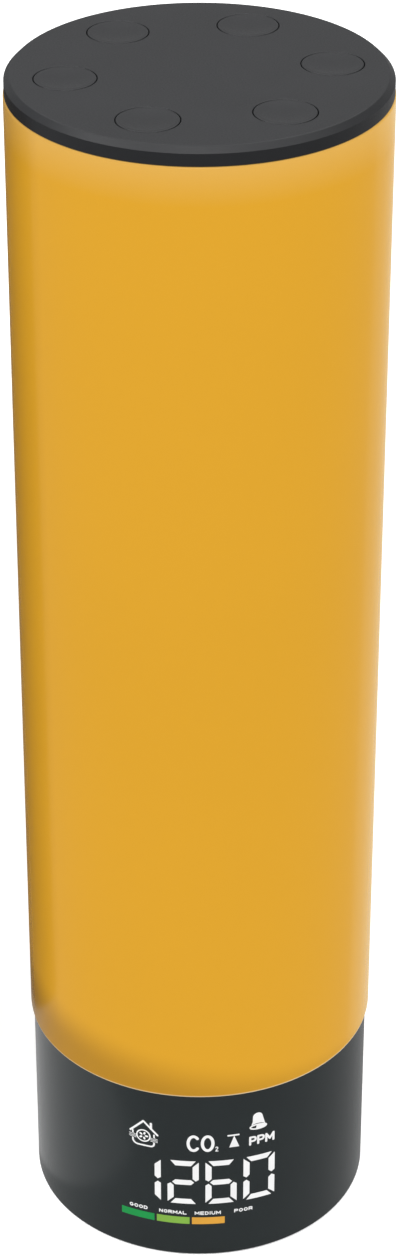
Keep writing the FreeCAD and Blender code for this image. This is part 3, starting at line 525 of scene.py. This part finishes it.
def noise(material, scale, detail=3.0, stretch=(1, 1, 1)):
    """A noise in the object's own space: scale is features per metre, stretch is for each axis."""
    place = add(material, "TexCoord")
    mapping = add(material, "Mapping", Scale=stretch)
    texture = add(material, "TexNoise", Scale=scale, Detail=detail, Roughness=0.55)
    join(material, place.outputs["Object"], mapping.inputs["Vector"])
    join(material, mapping.outputs["Vector"], texture.inputs["Vector"])
    return texture.outputs["Fac"]


def between(material, value, low, high, low_in=NOISE_LOW, high_in=NOISE_HIGH, **settings):
    """A value mapped from low_in and high_in to low and high, and kept between them."""
    mapped = add(material, "MapRange", From_Min=low_in, From_Max=high_in, To_Min=low, To_Max=high,
                 **settings)
    join(material, value, mapped.inputs["Value"])
    return mapped.outputs["Result"]


def blend(material, value, first, second):
    """A colour that runs from first to second as the value runs over a noise's usual range."""
    mixed = add(material, "ValToRGB")
    ramp = mixed.color_ramp.elements
    ramp[0].position, ramp[1].position = NOISE_LOW, NOISE_HIGH
    ramp[0].color, ramp[1].color = (*first, 1), (*second, 1)
    join(material, value, mixed.inputs["Fac"])
    return mixed.outputs["Color"]


def mix(material, factor, first, second):
    """Mixes the colour from a socket with a fixed one."""
    mixed = add(material, "Mix", data_type="RGBA")
    join(material, factor, mixed.inputs["Factor"])
    join(material, first, mixed.inputs["A"])
    mixed.inputs["B"].default_value = (*second, 1)
    return mixed.outputs["Result"]


def combine(material, operation, first, second):
    """The sum (ADD) or the product (MULTIPLY) of two values."""
    result = add(material, "Math", operation=operation)
    join(material, first, result.inputs[0])
    join(material, second, result.inputs[1])
    return result.outputs["Value"]


def bumps(material, shader, value, strength, depth):
    bump = add(material, "Bump", Strength=strength, Distance=depth)
    join(material, value, bump.inputs["Height"])
    join(material, bump.outputs["Normal"], shader.inputs["Normal"])


def scaled(colour, factor):
    return [min(1.0, c * factor) for c in colour]


def surface(name, colour, roughness, grain=0.35, grain_size=0.35, depth=0.02, spread=0.1,
            stretch=(1, 1, 1), gloss_spread=0.07, **shader_values):
    """A material with fine grain in its surface and gloss, and slow drifts in its colour.

    The size and the depth of the grain are in millimetres.
    """
    material, shader = new_material(name)
    fine = noise(material, 1 / (grain_size * MM), 4.0, stretch)
    slow = noise(material, 70.0, 3.0)
    join(material, blend(material, slow, scaled(colour, 1 - spread), scaled(colour, 1 + spread)),
         shader.inputs["Base Color"])
    gloss = between(material, fine, roughness - gloss_spread, roughness + gloss_spread)
    join(material, gloss, shader.inputs["Roughness"])
    bumps(material, shader, fine, grain, depth * MM)
    set_up(shader, **shader_values)
    return material


def metal(name, colour, roughness, stretch=(1, 1, 1)):
    """A metal whose fine grain is stretched along the way it was drawn or turned."""
    return surface(name, colour, roughness, grain=0.2, grain_size=0.25, depth=0.01, spread=0.06,
                   stretch=stretch, Metallic=1.0)


def circuit(name, colour, copper):
    """Solder mask over copper tracks: tracks show as slightly raised, lighter lines."""
    material, shader = new_material(name)
    place = add(material, "TexCoord")
    cells = add(material, "TexVoronoi", Scale=260.0, distance="MANHATTAN", feature="F2")
    join(material, place.outputs["Object"], cells.inputs["Vector"])
    tracks = between(material, cells.outputs["Distance"], 0.0, 1.0, 0.55, 0.75)
    join(material, blend(material, tracks, colour, copper), shader.inputs["Base Color"])
    bumps(material, shader, tracks, 0.5, 0.035 * MM)
    join(material, between(material, noise(material, 900.0), 0.3, 0.42), shader.inputs["Roughness"])
    return material


def milky_amber():
    """Milky plastic lit from inside.

    The glow is dimmer just above the base. Its lower left is darker still, and the left side is
    dimmer along its front: both are painted shade. The paler glow under the lid is a painted
    highlight, and the thin pale line at the lower rim is a painted rim highlight.
    """
    material, shader = new_material("milky_amber")
    place = add(material, "TexCoord")
    split = add(material, "SeparateXYZ")
    join(material, place.outputs["Object"], split.inputs["Vector"])
    x, y, z = (split.outputs[axis] for axis in "XYZ")
    low, high = COLUMN_LOW.z, COLUMN_HIGH.z
    # The slope and the last number set painted shade: the lower left darkens more, and the left
    # side's glow drops to 0.55.
    slope, dimmest_low, darkest_painted_shade_left = 0.2, 0.15, 0.55

    # The glow is dimmer just above the base. Tilted by x, this dimming reaches higher at the left:
    # painted shade.
    painted_shade_lean = add(material, "Math", operation="MULTIPLY_ADD")
    painted_shade_lean.inputs[1].default_value = slope
    join(material, x, painted_shade_lean.inputs[0])
    join(material, z, painted_shade_lean.inputs[2])
    fade_bottom, fade_top = low - 1.5 * MM, low + 11.0 * MM
    low_fade_with_painted_shade = between(material, painted_shade_lean.outputs["Value"], dimmest_low, 1.0, fade_bottom, fade_top,
                         interpolation_type="SMOOTHSTEP")
    # The left side, most of all towards its front, is dimmed as painted shade.
    behind = between(material, y, 0.0, 8.0 * MM, 0.0, 20.0 * MM)
    around = combine(material, "ADD", x, behind)
    painted_shade_left = between(material, around, darkest_painted_shade_left, 1.0, -38.0 * MM, -31.8 * MM)
    share = combine(material, "MULTIPLY", low_fade_with_painted_shade, painted_shade_left)
    glow = between(material, share, 0.0, COLUMN_GLOW, 0.0, 1.0)
    # A thin band at the lower edge glows as a painted rim highlight.
    rim_bottom, rim_top = low + 0.3 * MM, low + 0.65 * MM
    painted_rim_highlight_glow = between(material, z, RIM_HIGHLIGHT_GLOW, 0.0, rim_bottom, rim_top)
    join(material, combine(material, "ADD", glow, painted_rim_highlight_glow), shader.inputs["Emission Strength"])

    # Paler towards the lid: a painted highlight.
    painted_highlight_under_lid = between(material, z, NOISE_LOW, NOISE_HIGH, high - 8.5 * MM, high - 0.5 * MM)
    amber = blend(material, painted_highlight_under_lid, AMBER, AMBER_PAINTED_HIGHLIGHT)
    # The same band takes the pale colour of the painted rim highlight.
    rim = between(material, z, 1.0, 0.0, rim_bottom, rim_top)
    join(material, mix(material, rim, amber, RIM_PAINTED_HIGHLIGHT), shader.inputs["Emission Color"])

    cloud = noise(material, 9.0, 2.0)
    body = blend(material, cloud, (0.35, 0.17, 0.009), (0.37, 0.18, 0.01))
    join(material, body, shader.inputs["Base Color"])
    fine = noise(material, 2600.0)
    join(material, between(material, fine, 0.16, 0.22), shader.inputs["Roughness"])
    bumps(material, shader, fine, 0.08, 0.01 * MM)
    set_up(shader, IOR=1.25)
    return material


def lit_plastic(name, colour, strength):
    """A lit sign: slightly brighter in places, as over its LEDs."""
    material, shader = new_material(name)
    cloud = noise(material, 220.0, 2.0)
    lit = blend(material, cloud, scaled(colour, 0.9), colour)
    join(material, lit, shader.inputs["Emission Color"])
    set_up(shader, Base_Color=(0.006, 0.006, 0.006, 1), Roughness=0.3, Specular_IOR_Level=0.3)
    set_up(shader, Emission_Strength=strength)
    return material


def slot_materials():
    """One material for each material slot of the record, apart from the column's."""
    return {
        "lid_plastic": surface("lid_plastic", DARK_PLASTIC, 0.42, grain=0.25,
                               Specular_IOR_Level=0.34),
        "button_plastic": surface("button_plastic", DARK_PLASTIC, 0.4, grain=0.2,
                                  Specular_IOR_Level=0.34),
        "base_plastic": surface("base_plastic", (0.0055, 0.0105, 0.0115), 0.25, grain=0.05,
                                grain_size=0.3, depth=0.003, gloss_spread=0.02),
        "inner_plastic": surface("inner_plastic", (0.04, 0.04, 0.043), 0.6),
        "seal_rubber": surface("seal_rubber", (0.02, 0.02, 0.021), 0.82, grain=0.6, grain_size=0.2,
                               depth=0.03),
        "mast_aluminium": metal("mast_aluminium", (0.78, 0.78, 0.79), 0.36, stretch=(8, 8, 0.3)),
        "circuit_board": circuit("circuit_board", (0.008, 0.085, 0.03), (0.03, 0.19, 0.07)),
        "led_board": circuit("led_board", (0.72, 0.72, 0.7), (0.8, 0.8, 0.78)),
        "led_package": surface("led_package", (0.9, 0.82, 0.45), 0.35, grain=0.1, grain_size=0.3,
                               depth=0.01, spread=0.05),
        "chip_plastic": surface("chip_plastic", (0.018, 0.018, 0.02), 0.5, grain=0.5,
                                grain_size=0.15),
        "connector_plastic": surface("connector_plastic", (0.74, 0.71, 0.63), 0.45, grain=0.2),
        "screw_steel": metal("screw_steel", (0.55, 0.56, 0.58), 0.32, stretch=(1, 1, 4)),
        "socket_steel": metal("socket_steel", (0.66, 0.66, 0.67), 0.25, stretch=(4, 1, 4)),
        "capacitor_can": metal("capacitor_can", (0.72, 0.73, 0.75), 0.3, stretch=(1, 1, 6)),
        "sensor_gold": metal("sensor_gold", (0.83, 0.58, 0.2), 0.24),
        "membrane": surface("membrane", (0.86, 0.86, 0.84), 0.9, grain=0.8, grain_size=0.12,
                            depth=0.05, spread=0.04),
        "film": surface("film", (0.8, 0.8, 0.8), 0.5, grain=0.2),
        "cable_sleeve": surface("cable_sleeve", (0.3, 0.3, 0.32), 0.55, grain=0.3, grain_size=0.3),
    }


def paint_cad():
    """Every CAD node takes the material of its slot. The column's is replaced, so any will do."""
    finishes = slot_materials()
    for part in frame["record"]["subparts"]:
        mesh = frame["nodes"][part["node"]].data
        mesh.materials.clear()
        mesh.materials.append(finishes.get(part["material_slot"], finishes["inner_plastic"]))


make_camera()
paint_cad()
make_column()
make_display()
make_studio()
